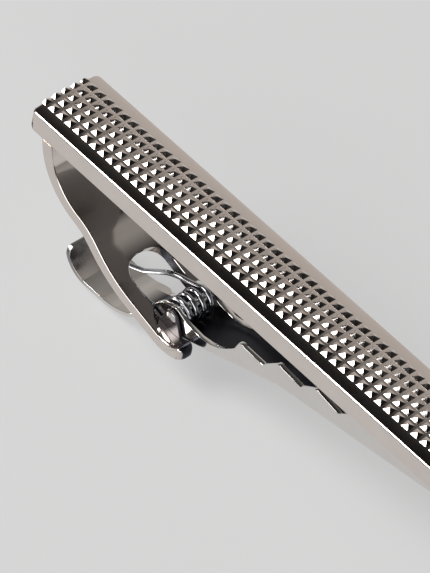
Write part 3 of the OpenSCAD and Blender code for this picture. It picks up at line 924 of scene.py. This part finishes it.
def painted_shade_under_bar(made):
    """Painted shade on the bar's back, the side turned to the table."""
    return made.span(made.spot()["Z"], BACK_Z[0] * MM, BACK_Z[1] * MM, 1, 0)


print("tips are dull from", round(TIP_START[0], 2), "mm on")

# %% The five finishes
GUN_TONE, GUN_PALE = (0.70, 0.635, 0.595), (0.74, 0.68, 0.64)
finishes = {
    # the bar's back takes the tone of its painted shade
    bar: metal("polished_gunmetal", GUN_TONE, GUN_PALE, gloss=0.10, marks=0.04,
               lengthwise=(0.05, 1, 1), painted_shade=painted_shade_under_bar, shade_tone=(0.19, 0.18, 0.175)),
    bracket: metal("bracket_plating", GUN_TONE, GUN_PALE, gloss=0.09, marks=0.03,
                   lengthwise=(0.08, 1, 1), painted_shade=painted_shade_window_lugs_tips),
    jaw: metal("jaw_plating", (0.70, 0.675, 0.65), (0.75, 0.73, 0.71), gloss=0.07, marks=0.03,
               lengthwise=(0.1, 1, 1), painted_shade=painted_shade_in_fold),
    spring: metal("drawn_wire", (0.35, 0.36, 0.38), (0.42, 0.43, 0.45), gloss=0.13, marks=0.02),
    pin: metal("riveted_steel", (0.58, 0.56, 0.54), (0.66, 0.64, 0.62), gloss=0.18, marks=0.05,
               relief=0.05),
}
for piece, material in finishes.items():
    piece.data.materials.clear()
    piece.data.materials.append(material)
print("finishes:", [material.name for material in finishes.values()])

# %% [markdown]
# ## Table, room and lamps
# Shiny metal shows the room more than itself. A pale table lights its sides,
# a dark ceiling gives the deep tones on the front, and two soft lamps, one
# high on the near left and a wide one low in front, draw the white facets and
# edge lines. A panorama of a studio would give reflections too, but not where
# this metal shows them, so the room is plain and has a few soft glows, each in
# its own direction. The table carries part of its brightness itself, because
# lamps strong enough to whiten it would burn out the metal.

# %% Table
TABLE_Z, TABLE_HALF = -12.6, 1.5
PAPER, PAPER_GLOW, GLOW_STRENGTH = 0.24, 0.68, 0.65
bm = bmesh.new()
bmesh.ops.create_grid(bm, x_segments=1, y_segments=1, size=TABLE_HALF)
bmesh.ops.translate(bm, verts=bm.verts, vec=(0, 0, TABLE_Z * MM))
table_mesh = bpy.data.meshes.new("table")
bm.to_mesh(table_mesh)
bm.free()
table = put_in_scene("table", table_mesh)
paper = Finish("table_paper")
for socket, value in (("Base Color", (PAPER, PAPER, PAPER, 1)), ("Roughness", 0.9),
                      ("Emission Color", (PAPER_GLOW, PAPER_GLOW, PAPER_GLOW, 1)),
                      ("Emission Strength", GLOW_STRENGTH), ("Specular IOR Level", 0.0)):
    paper.feed(paper.shader.inputs[socket], value)
table.data.materials.append(paper.material)
print("table at", TABLE_Z, "mm")

# %% Room tones
# A stop of a ramp is a place, a brightness and a warmth. The room goes from
# floor to ceiling, and a glow is a direction and its stops by nearness to it.
GREEN_SHARE = 0.5
ROOM = ((0.0, 0.10, 0.12), (0.5, 0.07, 0.08), (0.7, 0.03, 0.06), (0.84, 0.010, 0.05), (1.0, 0.008, 0.05))
GLOWS = (((-0.5, 0.8, 0.42), ((0.83, 0.0, 0.1), (0.87, 0.10, 0.12), (0.912, 0.26, 0.1),
                              (0.96, 0.45, 0.1), (1.0, 0.62, 0.1))),
         ((-0.1, 0.6, 0.8), ((0.93, 0.0, 0.05), (0.985, 0.08, 0.05), (1.0, 0.09, 0.05))),
         ((-1.0, 0.3, 0.0), ((0.8, 0.0, 0.1), (0.96, 0.22, 0.12), (1.0, 0.25, 0.12))),
         ((0.8, 0.5, 0.4), ((0.86, 0.0, 0.04), (0.96, 0.26, 0.04), (1.0, 0.30, 0.04))))


def tint(level, warmth):
    """A grey of a brightness, made warm by taking from its blue and half as much from its green."""
    return (level, level * (1 - warmth * GREEN_SHARE), level * (1 - warmth), 1)


print("the brightest glow is", max(stops[-1][1] for _, stops in GLOWS))


# %% Room
def paint_room(world):
    """A dim room with a dark ceiling and a few pale places for the metal to show."""
    room = Nodes(world)
    place = room.node("ShaderNodeTexCoord", {}, {})["Generated"]

    def shades(value, stops):
        tones = [(position, tint(level, warmth)) for position, level, warmth in stops]
        return room.node("ShaderNodeValToRGB", {"stops": tones}, {0: value})["Color"]

    light = shades(room.node("ShaderNodeSeparateXYZ", {}, {0: place})["Z"], ROOM)
    for direction, stops in GLOWS:
        facing = room.node("ShaderNodeVectorMath", {"operation": "DOT_PRODUCT"},
                           {0: place, 1: Vector(direction).normalized()})["Value"]
        light = room.node("ShaderNodeVectorMath", {"operation": "ADD"},
                          {0: light, 1: shades(facing, stops)})["Vector"]
    background = room.tree.nodes["Background"]
    room.feed(background.inputs["Color"], light)
    room.feed(background.inputs["Strength"], 1.0)


scene = bpy.context.scene
scene.world = scene.world or bpy.data.worlds.new("room")
paint_room(scene.world)
print("room with", len(GLOWS), "glows")


# %% Lamps
def toward(azimuth, elevation):
    """A direction of length one, by its angle round the clip and its angle above the table."""
    a, e = math.radians(azimuth), math.radians(elevation)
    return Vector((math.cos(e) * math.cos(a), math.cos(e) * math.sin(a), math.sin(e)))


def soft_lamp(name, azimuth, elevation, distance, width, height, radiance):
    """A softbox that faces the clip, as bright as its radiance says."""
    lamp = bpy.data.lights.new(name, "AREA")
    lamp.shape = "RECTANGLE"
    lamp.size, lamp.size_y = width, height
    lamp.energy = radiance * math.pi * width * height
    made = put_in_scene(name, lamp)
    made.location = toward(azimuth, elevation) * distance
    made.rotation_euler = (-made.location).to_track_quat("-Z", "Y").to_euler()
    print(name, "gives", round(lamp.energy, 2), "W")


soft_lamp("key_box", azimuth=-134, elevation=46, distance=0.9, width=0.5, height=0.54, radiance=9.5)
soft_lamp("front_box", azimuth=-72, elevation=24, distance=1.0, width=1.25, height=0.5, radiance=2.8)

# %% [markdown]
# ## Camera
# The camera could be turned by eye until the picture looks right. Here its
# place and its three axes were worked out beforehand from the perspective of
# the square pattern, whose rows and columns are known to be straight and
# evenly spaced, so they are given as they came out.

# %% Camera
CAMERA_MM = (126.5, -159.6, 221.5)
RIGHT = (0.66578, 0.73642, 0.12012)
UP = (-0.60138, 0.43431, 0.67060)
BACK = (0.44168, -0.51871, 0.73203)
SENSOR_MM, LENS_MM = 24, 177.5
eye = bpy.data.cameras.new("eye")
eye.sensor_fit = "VERTICAL"
eye.sensor_height = SENSOR_MM
eye.lens = LENS_MM
eye.clip_start, eye.clip_end = 0.01, 10
camera = put_in_scene("eye", eye)
turn = Matrix((RIGHT, UP, BACK)).transposed().to_4x4()
camera.matrix_world = Matrix.Translation(Vector(CAMERA_MM) * MM) @ turn
scene.camera = camera
scene.view_settings.view_transform = "Standard"
print("camera at", CAMERA_MM, "mm, lens", LENS_MM, "mm")
